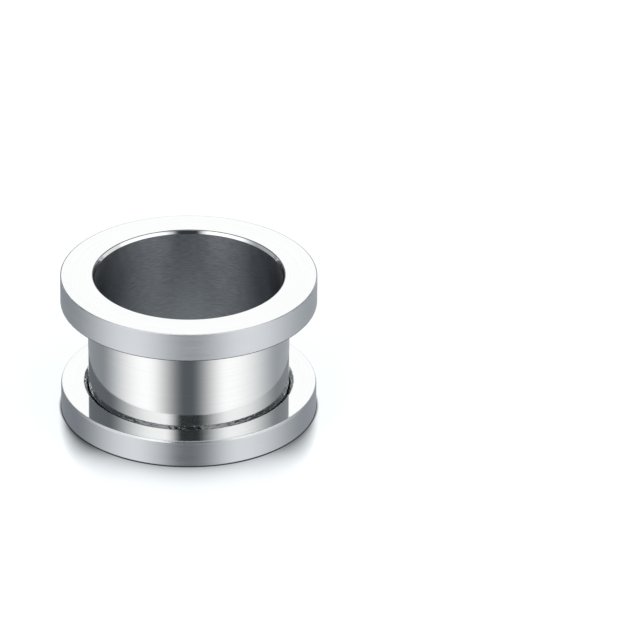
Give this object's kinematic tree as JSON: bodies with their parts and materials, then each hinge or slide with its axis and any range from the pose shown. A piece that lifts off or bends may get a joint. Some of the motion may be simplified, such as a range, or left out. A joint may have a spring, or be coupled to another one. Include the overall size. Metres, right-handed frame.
{
  "type": "screw-fit double-flanged flesh tunnel",
  "caption": "Hollow polished steel ear tunnel: a flanged barrel whose threaded end screws into a loose flange, standing on that flange.",
  "frame": {"origin": "centre of the loose flange's outside face, which the tunnel stands on", "axes": "+Z along the bore, up from the loose flange to the one-piece flange; X and Y are alike"},
  "size_m": [0.0178, 0.0178, 0.0103],
  "materials": {
    "barrel_steel": "mirror polished faces and barrel, satin turned rim and bore",
    "ring_steel": "mirror polished faces, satin turned rim"
  },
  "bodies": {
    "ring": {"screw_flange": "ring_steel"},
    "barrel": {"flanged_barrel": "barrel_steel"}
  },
  "joints": [
    {"name": "unscrew", "type": "slide", "parent": "ring", "child": "barrel", "axis": [0, 0, 1], "range_m": [0, 0.006]}
  ]
}
